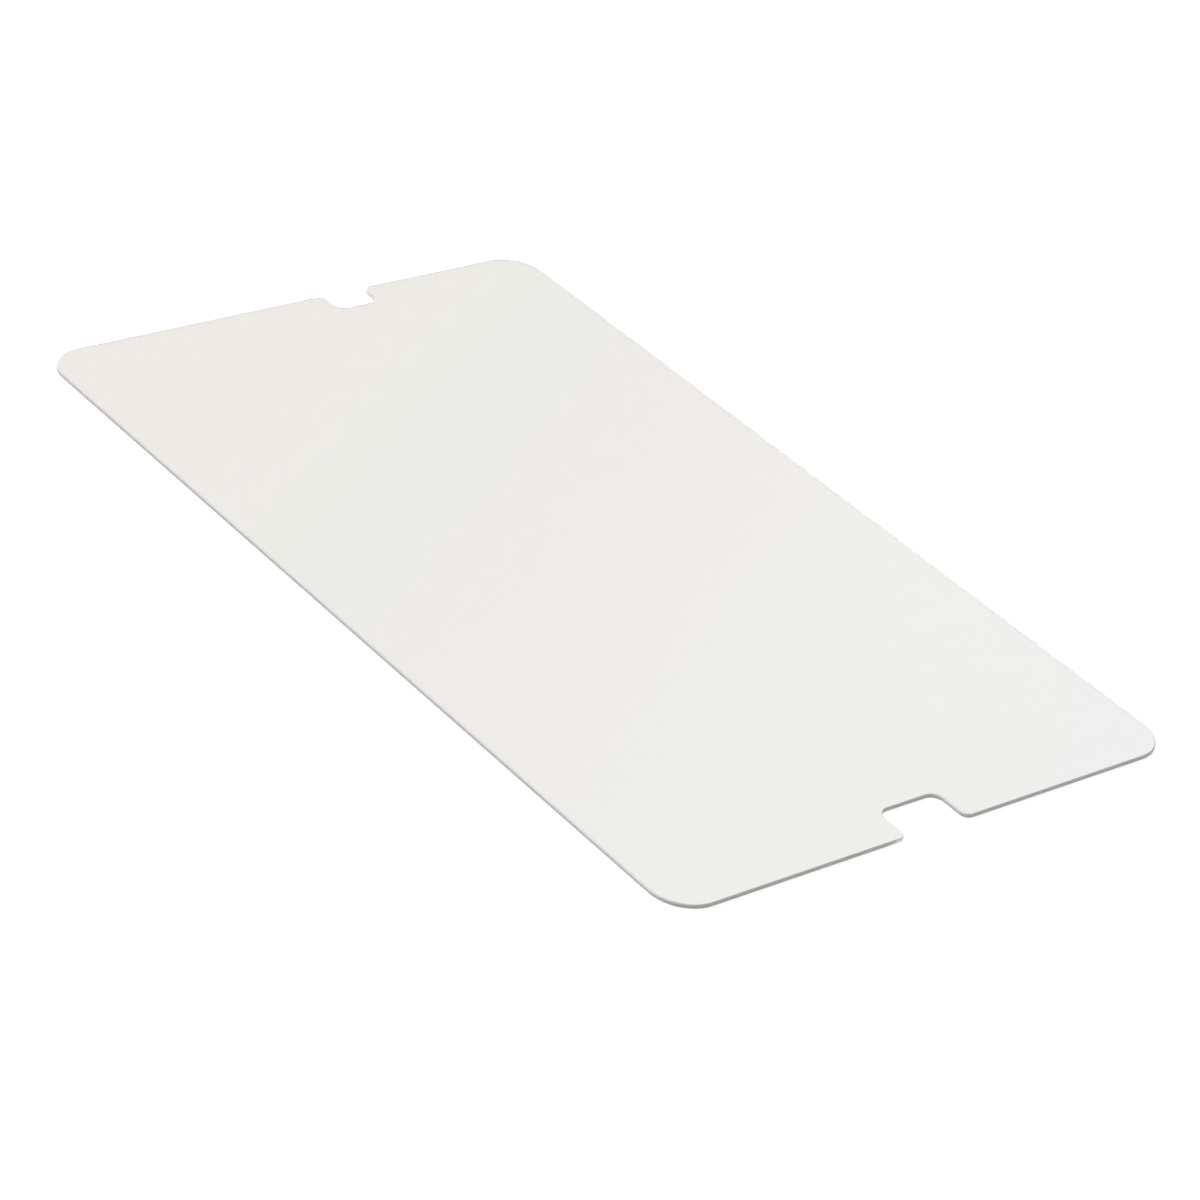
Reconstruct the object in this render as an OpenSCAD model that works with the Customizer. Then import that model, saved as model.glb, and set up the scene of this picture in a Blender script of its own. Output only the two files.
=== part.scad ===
// Tempered glass screen protector for a tablet.
// One flat sheet covers the front of the tablet. It has rounded outer corners, an open
// notch for the home button in its near short edge, and a smaller open notch for the
// camera and earpiece, right of the middle, in its far short edge.
// The sheet is made as real ones are: it is cut to its outline, and a profiled wheel then
// grinds one continuous edge round that outline and through both notches.
// It lies on its adhesive side at Z = 0, centred on the origin. +Y points to the far edge.

/* [Sheet] */
// Width of the sheet, along its short edges
sheet_w = 120; // [90:1:200]
// Length of the sheet, from the near edge to the far edge
sheet_l = 202.5; // [120:0.5:320]
// Thickness of the sheet
sheet_t = 0.8; // [0.6:0.05:2]
// Radius of the four outer corners
corner_r = 8; // [3:0.5:20]

/* [Home button notch] */
// Width of the notch
button_w = 14.2; // [12:0.1:24]
// Depth of the notch from the near edge
button_d = 8.3; // [6:0.1:16]
// Place of the notch's centre, to the right of the sheet's centre line
button_x = 0; // [-10:0.5:10]
// Radius of the two corners at the bottom of the notch
button_r = 2.4; // [1.5:0.1:3.5]
// Radius where the sides of the notch turn into the near edge
button_mouth_r = 1.8; // [1.2:0.1:2.4]

/* [Camera notch] */
// Width of the notch
camera_w = 10.4; // [9:0.1:16]
// Depth of the notch from the far edge
camera_d = 6; // [5:0.1:12]
// Place of the notch's centre, to the right of the sheet's centre line
camera_x = 13.3; // [-14:0.1:14]
// Radius of the two corners at the bottom of the notch
camera_r = 2.2; // [1.5:0.1:2.7]
// Radius where the sides of the notch turn into the far edge
camera_mouth_r = 2; // [1.2:0.1:2.2]

/* [Ground edge] */
// Width of the rounded band that the grinding takes off the upper edge
edge_round = 0.25; // [0.15:0.01:0.45]
// Width of the small bevel that the grinding leaves along the lower edge
edge_seam = 0.08; // [0.04:0.01:0.12]
// Angle at which the rounded band meets the face and the side of the sheet
edge_break = 15; // [8:1:25]

/* [Hidden] */
$fn = 64;

// The grinding wheel's cut reaches this far out of the glass, into the open
wheel_past = 0.5;

// The rounded band is an arc that cuts the face and the side at the break angle
round_r = edge_round / (cos(edge_break) - sin(edge_break));
round_in = round_r * cos(edge_break);

// Corners of the outline before rounding, anticlockwise with the glass on the left. Each is
// [x, y, radius, turn], where a turn of 90 bends round the glass and a turn of -90 bends
// into a notch. The first run heads along +X.
right_x = sheet_w / 2;
far_y = sheet_l / 2;
corners = concat(
    [[-right_x, -far_y, corner_r, 90]],
    notch_corners(button_x, -far_y, button_w, button_d, button_r, button_mouth_r, 1),
    [[right_x, -far_y, corner_r, 90], [right_x, far_y, corner_r, 90]],
    notch_corners(camera_x, far_y, camera_w, camera_d, camera_r, camera_mouth_r, -1),
    [[-right_x, far_y, corner_r, 90]]
);

// The four corners of a notch in the edge at edge_y. The outline runs past it along +X
// when side is 1 and along -X when side is -1.
function notch_corners(x, edge_y, w, d, r, mouth_r, side) = [
    [x - side * w / 2, edge_y, mouth_r, 90],
    [x - side * w / 2, edge_y + side * d, r, -90],
    [x + side * w / 2, edge_y + side * d, r, -90],
    [x + side * w / 2, edge_y, mouth_r, 90]
];

function radius(c) = c[2];
function turn(c) = c[3];
function along(angle) = [cos(angle), sin(angle)];
function point(c) = [c[0], c[1]];
function next(i) = (i + 1) % len(corners);

// Heading of the outline as it leaves corner i. It leaves the first corner along +X.
function heading(i) = i == 0 ? 0 : heading(i - 1) + turn(corners[i]);

// Where the round of corner i starts and ends, and the centre that it turns about
function round_start(i) =
    point(corners[i]) - radius(corners[i]) * along(heading(i) - turn(corners[i]));
function round_end(i) = point(corners[i]) + radius(corners[i]) * along(heading(i));
function round_centre(i) = round_start(i) + radius(corners[i]) * along(heading(i));

// Plan of the sheet: the outline with its corners rounded
module sheet_plan() {
    difference() {
        union() {
            polygon([for (c = corners) point(c)]);
            corner_webs(-90);
        }
        corner_webs(90);
    }
}

// What lies between the square and the rounded corner, at all corners with this turn. It
// is filled at the bottoms of the notches and taken off everywhere else.
module corner_webs(at_turn) {
    for (i = [0 : len(corners) - 1])
        if (turn(corners[i]) == at_turn)
            difference() {
                polygon([point(corners[i]), round_start(i), round_centre(i), round_end(i)]);
                translate(round_centre(i))
                    circle(r = radius(corners[i]));
            }
}

// Section of what the grinding wheel takes off. X = 0 is the side of the sheet, and the
// glass is at X < 0.
module wheel_section() {
    // Rounds the upper edge
    translate([-round_in, sheet_t - round_in])
        difference() {
            square(round_in + wheel_past);
            circle(r = round_r);
        }
    // Bevels the lower edge
    polygon([
        [-edge_seam - wheel_past, -wheel_past],
        [wheel_past, edge_seam + wheel_past],
        [wheel_past, -wheel_past]
    ]);
}

// Grinds the straight run that leaves corner i, from its far end back to its start
module grind_run(i) {
    end = round_start(next(i));
    translate([end[0], end[1], 0])
        rotate([90, 0, heading(i) - 90])
            linear_extrude(height = norm(end - round_end(i)))
                wheel_section();
}

// Grinds corner i. Where it bends into a notch, the wheel works from the inside of the bend.
module grind_corner(i) {
    outer = turn(corners[i]) > 0;
    centre = round_centre(i);
    translate([centre[0], centre[1], 0])
        rotate([0, 0, outer ? heading(i) - 180 : heading(i) + 90])
            rotate_extrude(angle = 90)
                translate([radius(corners[i]), 0])
                    mirror([outer ? 0 : 1, 0])
                        wheel_section();
}

module glass_sheet() {
    color("#EEEEEA")
        difference() {
            linear_extrude(height = sheet_t)
                sheet_plan();
            for (i = [0 : len(corners) - 1]) {
                grind_run(i);
                grind_corner(i);
            }
        }
}

glass_sheet();
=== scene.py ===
"""A tempered glass screen protector for a tablet, lying on a white table top.

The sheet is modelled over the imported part: its outline with both notches, the band that
is rounded off its upper edge and the fine bevel along its lower edge. The stage gives it
a white floor, soft light and the photograph's camera.
"""

import math

import bpy
from mathutils import Matrix, Vector


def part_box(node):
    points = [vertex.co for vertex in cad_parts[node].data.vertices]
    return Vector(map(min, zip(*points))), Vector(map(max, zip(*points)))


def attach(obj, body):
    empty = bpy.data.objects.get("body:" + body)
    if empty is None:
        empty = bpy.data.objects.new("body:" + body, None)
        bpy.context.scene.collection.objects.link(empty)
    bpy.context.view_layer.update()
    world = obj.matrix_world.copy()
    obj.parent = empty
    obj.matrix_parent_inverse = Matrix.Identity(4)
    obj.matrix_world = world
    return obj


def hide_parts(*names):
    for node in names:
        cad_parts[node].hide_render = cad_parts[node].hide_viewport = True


bl_info = {
    "name": "Tablet screen protector",
    "version": (1, 0, 0),
    "blender": (4, 5, 0),
    "location": "View3D > Sidebar > Screen protector",
    "description": "Models a tempered glass sheet with its ground edge, and a stage to show it on",
    "category": "Object",
}

MM = 0.001
SHEET_NODE = "glass_sheet"
GLASS_IOR = 1.52
WHITE = (1.0, 1.0, 1.0, 1.0)

# Facets of a round that turn by less than this are shaded smooth
FACET_TURN = math.radians(12)

# Most values of a noise texture lie between these two
NOISE_LOW = 0.3
NOISE_HIGH = 0.7

# The studio card that the sheet mirrors fades from a warm grey to a cool white, through faint
# bands of green and pink. Each stop is a place along the fade and the card's colour there.
CARD_FADE = (
    (0.16, "#D7BAAD"),
    (0.33, "#B9C3B4"),
    (0.46, "#D9B7BA"),
    (0.75, "#DFE5D8"),
    (1.0, "#DEDDFC"),
)

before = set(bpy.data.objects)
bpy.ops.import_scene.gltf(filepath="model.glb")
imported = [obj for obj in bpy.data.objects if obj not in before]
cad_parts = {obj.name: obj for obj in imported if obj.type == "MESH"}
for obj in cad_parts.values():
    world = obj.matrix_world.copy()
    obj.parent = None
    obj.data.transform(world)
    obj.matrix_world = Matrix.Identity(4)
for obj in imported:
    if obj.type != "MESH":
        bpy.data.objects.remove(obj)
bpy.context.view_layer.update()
SHEET_LOW, SHEET_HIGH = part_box(SHEET_NODE)
SHEET_SIZE = SHEET_HIGH - SHEET_LOW


def hex_to_linear(code):
    """The linear RGBA of an sRGB colour written as #RRGGBB."""
    channels = [int(code[i : i + 2], 16) / 255 for i in (1, 3, 5)]
    linear = [c / 12.92 if c <= 0.04045 else ((c + 0.055) / 1.055) ** 2.4 for c in channels]
    return (*linear, 1.0)


def add_node(tree, kind, inputs=None, **settings):
    """A new node with its settings. inputs maps a socket's name or number to a constant or to the
    output socket that feeds it."""
    node = tree.nodes.new(kind)
    for name, value in settings.items():
        setattr(node, name, value)
    for key, value in (inputs or {}).items():
        if isinstance(value, bpy.types.NodeSocket):
            tree.links.new(value, node.inputs[key])
        else:
            node.inputs[key].default_value = value
    return node


def colour_property(name, description, code):
    """A colour that a user can change, stored in linear values."""
    return bpy.props.FloatVectorProperty(
        name=name,
        description=description,
        subtype="COLOR",
        size=4,
        min=0.0,
        max=1.0,
        default=hex_to_linear(code),
    )


def length_property(name, description, value):
    """A length in metres that a user can change."""
    return bpy.props.FloatProperty(
        name=name, description=description, unit="LENGTH", subtype="DISTANCE", default=value
    )


def angle_property(name, description, degrees):
    """An angle that a user can change."""
    return bpy.props.FloatProperty(
        name=name,
        description=description,
        unit="ROTATION",
        subtype="ANGLE",
        default=math.radians(degrees),
    )


def strength_property(name, description, value):
    """The strength of a light."""
    return bpy.props.FloatProperty(name=name, description=description, min=0.0, default=value)


def place_property(name, description, place):
    """A place in metres that a user can change."""
    return bpy.props.FloatVectorProperty(
        name=name, description=description, unit="LENGTH", subtype="TRANSLATION", default=place
    )


class ProtectorSheet(bpy.types.PropertyGroup):
    """Sizes and colours of the glass sheet."""

    corner_radius: length_property("Corner radius", "Radius of the four outer corners", 8 * MM)
    button_width: length_property("Button notch width", "Width of the near notch", 14.2 * MM)
    button_depth: length_property("Button notch depth", "Depth of the near notch", 8.3 * MM)
    button_centre: length_property(
        "Button notch centre", "Distance of the near notch right of the middle", 0.0
    )
    button_radius: length_property(
        "Button notch corners", "Radius at the bottom of the near notch", 2.4 * MM
    )
    button_mouth: length_property(
        "Button notch mouth", "Radius where the near notch meets the edge", 1.8 * MM
    )
    camera_width: length_property("Camera notch width", "Width of the far notch", 10.4 * MM)
    camera_depth: length_property("Camera notch depth", "Depth of the far notch", 6 * MM)
    camera_centre: length_property(
        "Camera notch centre", "Distance of the far notch right of the middle", 13.3 * MM
    )
    camera_radius: length_property(
        "Camera notch corners", "Radius at the bottom of the far notch", 2.2 * MM
    )
    camera_mouth: length_property(
        "Camera notch mouth", "Radius where the far notch meets the edge", 2.0 * MM
    )
    edge_round: length_property("Rounded band", "Width rounded off the upper edge", 0.25 * MM)
    edge_seam: length_property("Lower bevel", "Width of the bevel at the lower edge", 0.08 * MM)
    edge_break: angle_property(
        "Break angle", "Angle at which the rounded band meets the face and the side", 15
    )
    band_steps: bpy.props.IntProperty(
        name="Band steps", description="Facets across the rounded band", min=3, default=6
    )
    corner_step: length_property(
        "Corner step", "Length of one facet round an outline corner", 0.3 * MM
    )
    glass_cast: colour_property(
        "Glass", "Cast that the glass gives what is seen through it", "#F2F2F0"
    )
    light_cast: colour_property(
        "Light through glass", "Colour of white light that has passed into the glass", "#F9F9F8"
    )
    band_colour: colour_property(
        "Band colour", "Colour of the finely ground upper band", "#E8E8E6"
    )
    side_colour: colour_property("Side colour", "Colour of the coarsely ground side", "#FDFDFB")
    mark_length: length_property("Mark length", "Length of the grinding marks", 1.5 * MM)
    mark_height: length_property("Mark height", "Height of the grinding marks", 0.06 * MM)
    mark_depth: length_property("Mark depth", "Depth of the grinding marks", 0.01 * MM)
    swell_length: length_property("Swell length", "Length of the faces' slight swell", 40 * MM)
    swell_height: length_property("Swell height", "Height of the faces' slight swell", 0.02 * MM)


class ProtectorStage(bpy.types.PropertyGroup):
    """Sizes, colours and lights of the stage."""

    floor_colour: colour_property("Floor", "Colour of the table top", "#FFFFFF")
    floor_size: length_property("Floor size", "Width of the table top", 14.0)
    floor_gap: length_property(
        "Floor gap", "Air that keeps the table top and the sheet apart", 0.1 * MM
    )
    sky_strength: strength_property("Sky", "Strength of the even light from all round", 0.3)
    key_strength: strength_property("Key light", "Strength of the soft key light", 3.52)
    key_spread: angle_property("Key spread", "How wide the key light looks from the sheet", 60)
    key_place: place_property("Key place", "Where the key light stands", (-1.1, 2.05, 2.1))
    card_strength: strength_property("Card", "How bright the mirrored card is", 1.5)
    card_place: place_property("Card place", "Middle of the mirrored card", (1.4, 1.46, 1.2))
    card_size: length_property("Card size", "Width of the mirrored card", 1.4)
    card_fade: length_property("Card fade", "Length over which the card's colour fades", 0.9)
    card_turn: angle_property("Card turn", "Direction of the fade on the card", 58)
    camera_place: place_property(
        "Camera place", "Where the camera stands", (-0.48162, -0.50523, 0.4138)
    )
    camera_aim: place_property(
        "Camera aim", "What the camera looks at", (-0.01044, -0.01673, 0.0008)
    )
    camera_roll: angle_property("Camera roll", "Turn of the camera about its view", 11.02)
    camera_lens: bpy.props.FloatProperty(
        name="Lens",
        description="Focal length on a 36 mm sensor",
        subtype="DISTANCE_CAMERA",
        default=127.1,
    )


def select_faces(mesh_object, test):
    """Selects, in edit mode, the faces of the object whose centre and normal pass the test."""
    bpy.ops.mesh.select_mode(type="FACE")
    bpy.ops.mesh.select_all(action="DESELECT")
    bpy.ops.object.mode_set(mode="OBJECT")
    for face in mesh_object.data.polygons:
        face.select = test(face.center, face.normal)
    bpy.ops.object.mode_set(mode="EDIT")


def round_corner(mesh_object, place, radius, step):
    """Rounds the corner of a flat outline that lies at place."""
    bpy.ops.mesh.select_mode(type="VERT")
    bpy.ops.mesh.select_all(action="DESELECT")
    bpy.ops.object.mode_set(mode="OBJECT")
    corner = min(mesh_object.data.vertices, key=lambda v: (v.co.xy - Vector(place)).length)
    corner.select = True
    bpy.ops.object.mode_set(mode="EDIT")
    bpy.ops.mesh.bevel(
        affect="VERTICES",
        offset_type="OFFSET",
        offset=radius,
        segments=max(1, round(radius * math.pi / 2 / step)),
        profile=0.5,
    )


def cut_notch(mesh_object, left, right, low, high):
    """Cuts a rectangle out of the flat outline and leaves the rest as one face."""
    for point, normal in (
        ((left, 0, 0), (1, 0, 0)),
        ((right, 0, 0), (1, 0, 0)),
        ((0, low, 0), (0, 1, 0)),
        ((0, high, 0), (0, 1, 0)),
    ):
        bpy.ops.mesh.select_all(action="SELECT")
        bpy.ops.mesh.bisect(plane_co=point, plane_no=normal)
    select_faces(mesh_object, lambda c, n: left < c.x < right and low < c.y < high)
    bpy.ops.mesh.delete(type="FACE")
    bpy.ops.mesh.select_all(action="SELECT")
    bpy.ops.mesh.dissolve_limited(angle_limit=math.radians(1))


def cut_outline(sheet, look):
    """Cuts both notches into the flat sheet and rounds every corner of its outline."""
    right_x = SHEET_SIZE.x / 2
    far_y = SHEET_SIZE.y / 2
    button_left = look.button_centre - look.button_width / 2
    button_right = look.button_centre + look.button_width / 2
    button_end = look.button_depth - far_y
    camera_left = look.camera_centre - look.camera_width / 2
    camera_right = look.camera_centre + look.camera_width / 2
    camera_end = far_y - look.camera_depth
    cut_notch(sheet, button_left, button_right, -far_y, button_end)
    cut_notch(sheet, camera_left, camera_right, camera_end, far_y)

    rounds = [((x, y), look.corner_radius) for x in (-right_x, right_x) for y in (-far_y, far_y)]
    rounds += [((x, -far_y), look.button_mouth) for x in (button_left, button_right)]
    rounds += [((x, button_end), look.button_radius) for x in (button_left, button_right)]
    rounds += [((x, far_y), look.camera_mouth) for x in (camera_left, camera_right)]
    rounds += [((x, camera_end), look.camera_radius) for x in (camera_left, camera_right)]
    for place, radius in rounds:
        round_corner(sheet, place, radius, look.corner_step)


def raise_side(look):
    """Extrudes the outline into the side of the sheet, between its two ground edges."""
    bpy.ops.mesh.select_all(action="SELECT")
    bpy.ops.transform.translate(value=(0, 0, look.edge_seam))
    side = SHEET_SIZE.z - look.edge_seam - look.edge_round
    bpy.ops.mesh.extrude_region_move(TRANSFORM_OT_translate={"value": (0, 0, side)})
    bpy.ops.mesh.select_all(action="SELECT")
    bpy.ops.mesh.normals_make_consistent(inside=False)


def grind_edges(sheet, look):
    """Adds the lower bevel, and the rounded band as insets that climb an arc to the face."""
    select_faces(sheet, lambda c, n: n.z < -0.5)
    bpy.ops.mesh.inset(thickness=look.edge_seam, depth=look.edge_seam)

    radius = look.edge_round / (math.cos(look.edge_break) - math.sin(look.edge_break))
    span = math.pi / 2 - 2 * look.edge_break
    angles = [look.edge_break + span * i / look.band_steps for i in range(look.band_steps + 1)]
    select_faces(sheet, lambda c, n: n.z > 0.5)
    for start, end in zip(angles, angles[1:]):
        bpy.ops.mesh.inset(
            thickness=radius * (math.cos(start) - math.cos(end)),
            depth=radius * (math.sin(end) - math.sin(start)),
        )


def new_material(name):
    """A node material with only its output left, and that output."""
    material = bpy.data.materials.new(name)
    material.use_nodes = True
    material.node_tree.nodes.clear()
    output = add_node(material.node_tree, "ShaderNodeOutputMaterial")
    return material, output


def ray_is(tree, *kinds):
    """An output that is 1 for rays of any of these kinds, named as on the Light Path node."""
    path = add_node(tree, "ShaderNodeLightPath")
    found = path.outputs[kinds[0]]
    for kind in kinds[1:]:
        either = add_node(
            tree, "ShaderNodeMath", {0: found, 1: path.outputs[kind]}, operation="MAXIMUM"
        )
        found = either.outputs["Value"]
    return found


def glass_material(name, look, colour, transmission, finish):
    """A glass of this colour. transmission is the share of light that goes into it, and finish
    adds what its surface treatment sets, as polished or ground does. Lamp and bounced light
    pass straight through it, so that the table under the sheet is lit as under real glass."""
    material, output = new_material(name)
    tree = material.node_tree
    glass = add_node(
        tree,
        "ShaderNodeBsdfPrincipled",
        {
            "Base Color": colour,
            "IOR": GLASS_IOR,
            "Transmission Weight": transmission,
            **finish(tree, look),
        },
    )
    clear = add_node(tree, "ShaderNodeBsdfTransparent", {"Color": look.light_cast})
    mixed = add_node(
        tree,
        "ShaderNodeMixShader",
        {
            "Fac": ray_is(tree, "Is Shadow Ray", "Is Diffuse Ray"),
            1: glass.outputs["BSDF"],
            2: clear.outputs["BSDF"],
        },
    )
    tree.links.new(mixed.outputs["Shader"], output.inputs["Surface"])
    return material


def polished(tree, look):
    """A float polished face. It is as smooth as a mirror, over a slight swell that bends
    mirrored lines a little."""
    place = add_node(tree, "ShaderNodeTexCoord")
    swell = add_node(
        tree,
        "ShaderNodeTexNoise",
        {"Vector": place.outputs["Object"], "Scale": 1 / look.swell_length, "Detail": 0.0},
    )
    relief = add_node(
        tree, "ShaderNodeBump", {"Height": swell.outputs["Fac"], "Distance": look.swell_height}
    )
    return {"Roughness": 0.03, "Normal": relief.outputs["Normal"]}


def ground(roughness, unevenness=0.05):
    """A surface that a diamond wheel has ground to about this roughness. Its marks run along
    the edge, so they are level all the way round the sheet: long across it and thin in
    height. Real ones are about 0.02 mm high, and are drawn three times as coarse to show."""

    def finish(tree, look):
        place = add_node(tree, "ShaderNodeTexCoord")
        along_edge = add_node(
            tree,
            "ShaderNodeMapping",
            {
                "Vector": place.outputs["Object"],
                "Scale": (1 / look.mark_length, 1 / look.mark_length, 1 / look.mark_height),
            },
        )
        marks = add_node(
            tree, "ShaderNodeTexNoise", {"Vector": along_edge.outputs["Vector"], "Scale": 1.0}
        )
        uneven = add_node(
            tree,
            "ShaderNodeMapRange",
            {
                "Value": marks.outputs["Fac"],
                "From Min": NOISE_LOW,
                "From Max": NOISE_HIGH,
                "To Min": roughness - unevenness,
                "To Max": roughness + unevenness,
            },
        )
        relief = add_node(
            tree,
            "ShaderNodeBump",
            {"Height": marks.outputs["Fac"], "Strength": 0.5, "Distance": look.mark_depth},
        )
        return {"Roughness": uneven.outputs["Result"], "Normal": relief.outputs["Normal"]}

    return finish


def sheet_materials(look):
    """The three finishes of the sheet, in the order of its material slots."""
    return [
        # Float polished faces: clear, with sharp mirror reflections that grow towards grazing
        # angles, and a faint cast over the table beneath
        glass_material(
            "tempered_glass_polished",
            look,
            colour=look.glass_cast,
            transmission=1.0,
            finish=polished,
        ),
        # The rounded band is finely ground: a pale satin line between the face and the side
        glass_material(
            "tempered_glass_fine_ground",
            look,
            colour=look.band_colour,
            transmission=0.3,
            finish=ground(roughness=0.3),
        ),
        # The side is coarsely ground: a soft grey line that outlines the sheet
        glass_material(
            "tempered_glass_ground",
            look,
            colour=look.side_colour,
            transmission=0.65,
            finish=ground(roughness=0.45),
        ),
    ]


def finish_faces(sheet, look):
    """Gives the faces, the band and the side their own finishes, and smooths the rounds."""
    for material in sheet_materials(look):
        sheet.data.materials.append(material)
    for face in sheet.data.polygons:
        is_level = abs(face.normal.z) > 0.999
        is_band = not is_level and face.normal.z > 0.01
        if is_band:
            face.material_index = 1
        elif not is_level:
            face.material_index = 2
    bpy.ops.object.shade_smooth_by_angle(angle=FACET_TURN)


class PROTECTOR_OT_glass_sheet(bpy.types.Operator):
    """Model the glass sheet with its notches and ground edge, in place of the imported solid"""

    bl_idname = "protector.glass_sheet"
    bl_label = "Glass sheet"

    def execute(self, context):
        look = context.scene.protector_sheet
        bpy.ops.object.select_all(action="DESELECT")
        bpy.ops.mesh.primitive_plane_add(size=1.0, location=(0, 0, 0))
        sheet = context.object
        sheet.name = sheet.data.name = "screen_glass"
        bpy.ops.object.mode_set(mode="EDIT")
        bpy.ops.transform.resize(value=(SHEET_SIZE.x, SHEET_SIZE.y, 1.0))
        cut_outline(sheet, look)
        raise_side(look)
        grind_edges(sheet, look)
        bpy.ops.object.mode_set(mode="OBJECT")
        finish_faces(sheet, look)

        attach(sheet, "root")
        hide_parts(SHEET_NODE)
        return {"FINISHED"}


def table_material(look):
    """Matt white laminate, with no shine. It keeps to the colour of the background."""
    material, output = new_material("matt_white_laminate")
    laminate = add_node(
        material.node_tree,
        "ShaderNodeBsdfPrincipled",
        {"Base Color": look.floor_colour, "Roughness": 1.0, "Specular IOR Level": 0.0},
    )
    material.node_tree.links.new(laminate.outputs["BSDF"], output.inputs["Surface"])
    return material


def card_material(look):
    """A graded studio card that glows softly. The sheet mirrors it."""
    material, output = new_material("graded_card")
    tree = material.node_tree
    place = add_node(tree, "ShaderNodeTexCoord")
    along = add_node(
        tree,
        "ShaderNodeMapping",
        {
            "Vector": place.outputs["Object"],
            # Half of the fade lies on either side of the card's middle
            "Location": (0.5, 0.0, 0.0),
            "Rotation": (0.0, 0.0, look.card_turn),
            "Scale": (1 / look.card_fade,) * 3,
        },
    )
    fade = add_node(tree, "ShaderNodeTexGradient", {"Vector": along.outputs["Vector"]})
    ramp = add_node(tree, "ShaderNodeValToRGB", {"Fac": fade.outputs["Fac"]})
    stops = ramp.color_ramp.elements
    stops.remove(stops[1])
    stops[0].position = CARD_FADE[0][0]
    for position, _ in CARD_FADE[1:]:
        stops.new(position)
    for stop, (_, code) in zip(stops, CARD_FADE):
        stop.color = hex_to_linear(code)
    glow = add_node(
        tree,
        "ShaderNodeEmission",
        {"Color": ramp.outputs["Color"], "Strength": look.card_strength},
    )
    tree.links.new(glow.outputs["Emission"], output.inputs["Surface"])
    return material


def white_studio(look):
    """A world that lights the scene evenly. What sees it directly, mirrored or through the
    glass meets plain white."""
    world = bpy.data.worlds.new("white_studio")
    world.use_nodes = True
    tree = world.node_tree
    tree.nodes.clear()
    light = add_node(
        tree, "ShaderNodeBackground", {"Color": WHITE, "Strength": look.sky_strength}
    )
    shown = add_node(tree, "ShaderNodeBackground", {"Color": WHITE, "Strength": 1.0})
    mixed = add_node(
        tree,
        "ShaderNodeMixShader",
        {
            "Fac": ray_is(tree, "Is Camera Ray", "Is Glossy Ray", "Is Transmission Ray"),
            1: light.outputs["Background"],
            2: shown.outputs["Background"],
        },
    )
    add_node(tree, "ShaderNodeOutputWorld", {"Surface": mixed.outputs["Shader"]})
    return world


def add_floor(context, look):
    """A wide table top just under the sheet."""
    bpy.ops.mesh.primitive_plane_add(size=look.floor_size, location=(0, 0, -look.floor_gap))
    floor = context.object
    floor.name = "table_top"
    floor.data.materials.append(table_material(look))


def add_key(context, look):
    """A wide soft lamp that the glass doesn't mirror, so that no side of the sheet glares."""
    bpy.ops.object.light_add(type="SUN", location=look.key_place)
    key = context.object
    key.name = "key_light"
    key.data.angle = look.key_spread
    key.data.energy = look.key_strength
    key.rotation_euler = (-key.location).to_track_quat("-Z", "Y").to_euler()
    key.visible_glossy = key.visible_transmission = False


def add_card(context, look):
    """A card that hangs where the camera sees it mirrored in the sheet. It lights nothing."""
    bpy.ops.mesh.primitive_plane_add(size=look.card_size, location=look.card_place)
    card = context.object
    card.name = "graded_card"
    card.data.materials.append(card_material(look))
    card.visible_camera = card.visible_diffuse = card.visible_transmission = False
    card.visible_shadow = False


def add_camera(context, look):
    """The camera, where the photograph was taken from."""
    eye = Vector(look.camera_place)
    bpy.ops.object.camera_add(location=eye)
    camera = context.object
    camera.name = "photo_camera"
    camera.data.lens = look.camera_lens
    camera.data.sensor_width = 36.0
    facing = (Vector(look.camera_aim) - eye).to_track_quat("-Z", "Y").to_matrix().to_4x4()
    roll = Matrix.Rotation(look.camera_roll, 4, "Z")
    camera.matrix_world = Matrix.Translation(eye) @ facing @ roll
    context.scene.camera = camera


class PROTECTOR_OT_stage(bpy.types.Operator):
    """Set the white floor, the soft light, the mirrored card and the camera"""

    bl_idname = "protector.stage"
    bl_label = "Stage"

    def execute(self, context):
        look = context.scene.protector_stage
        bpy.ops.object.select_all(action="DESELECT")
        add_floor(context, look)
        context.scene.world = white_studio(look)
        add_key(context, look)
        add_card(context, look)
        add_camera(context, look)
        context.scene.view_settings.view_transform = "Standard"
        return {"FINISHED"}


class PROTECTOR_PT_panel(bpy.types.Panel):
    """Lists the sheet and the stage with their sizes and colours"""

    bl_idname = "PROTECTOR_PT_panel"
    bl_label = "Screen protector"
    bl_space_type = "VIEW_3D"
    bl_region_type = "UI"
    bl_category = "Screen protector"

    def draw(self, context):
        layout = self.layout
        for operator, settings in (
            (PROTECTOR_OT_glass_sheet, context.scene.protector_sheet),
            (PROTECTOR_OT_stage, context.scene.protector_stage),
        ):
            box = layout.box()
            box.operator(operator.bl_idname)
            for name in settings.__annotations__:
                box.prop(settings, name)


CLASSES = (
    ProtectorSheet,
    ProtectorStage,
    PROTECTOR_OT_glass_sheet,
    PROTECTOR_OT_stage,
    PROTECTOR_PT_panel,
)


def register():
    for cls in CLASSES:
        bpy.utils.register_class(cls)
    bpy.types.Scene.protector_sheet = bpy.props.PointerProperty(type=ProtectorSheet)
    bpy.types.Scene.protector_stage = bpy.props.PointerProperty(type=ProtectorStage)


def unregister():
    del bpy.types.Scene.protector_stage
    del bpy.types.Scene.protector_sheet
    for cls in reversed(CLASSES):
        bpy.utils.unregister_class(cls)


def main():
    """Sets the stage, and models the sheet."""
    register()
    bpy.ops.protector.stage()
    bpy.ops.protector.glass_sheet()


if __name__ == "__main__":
    main()
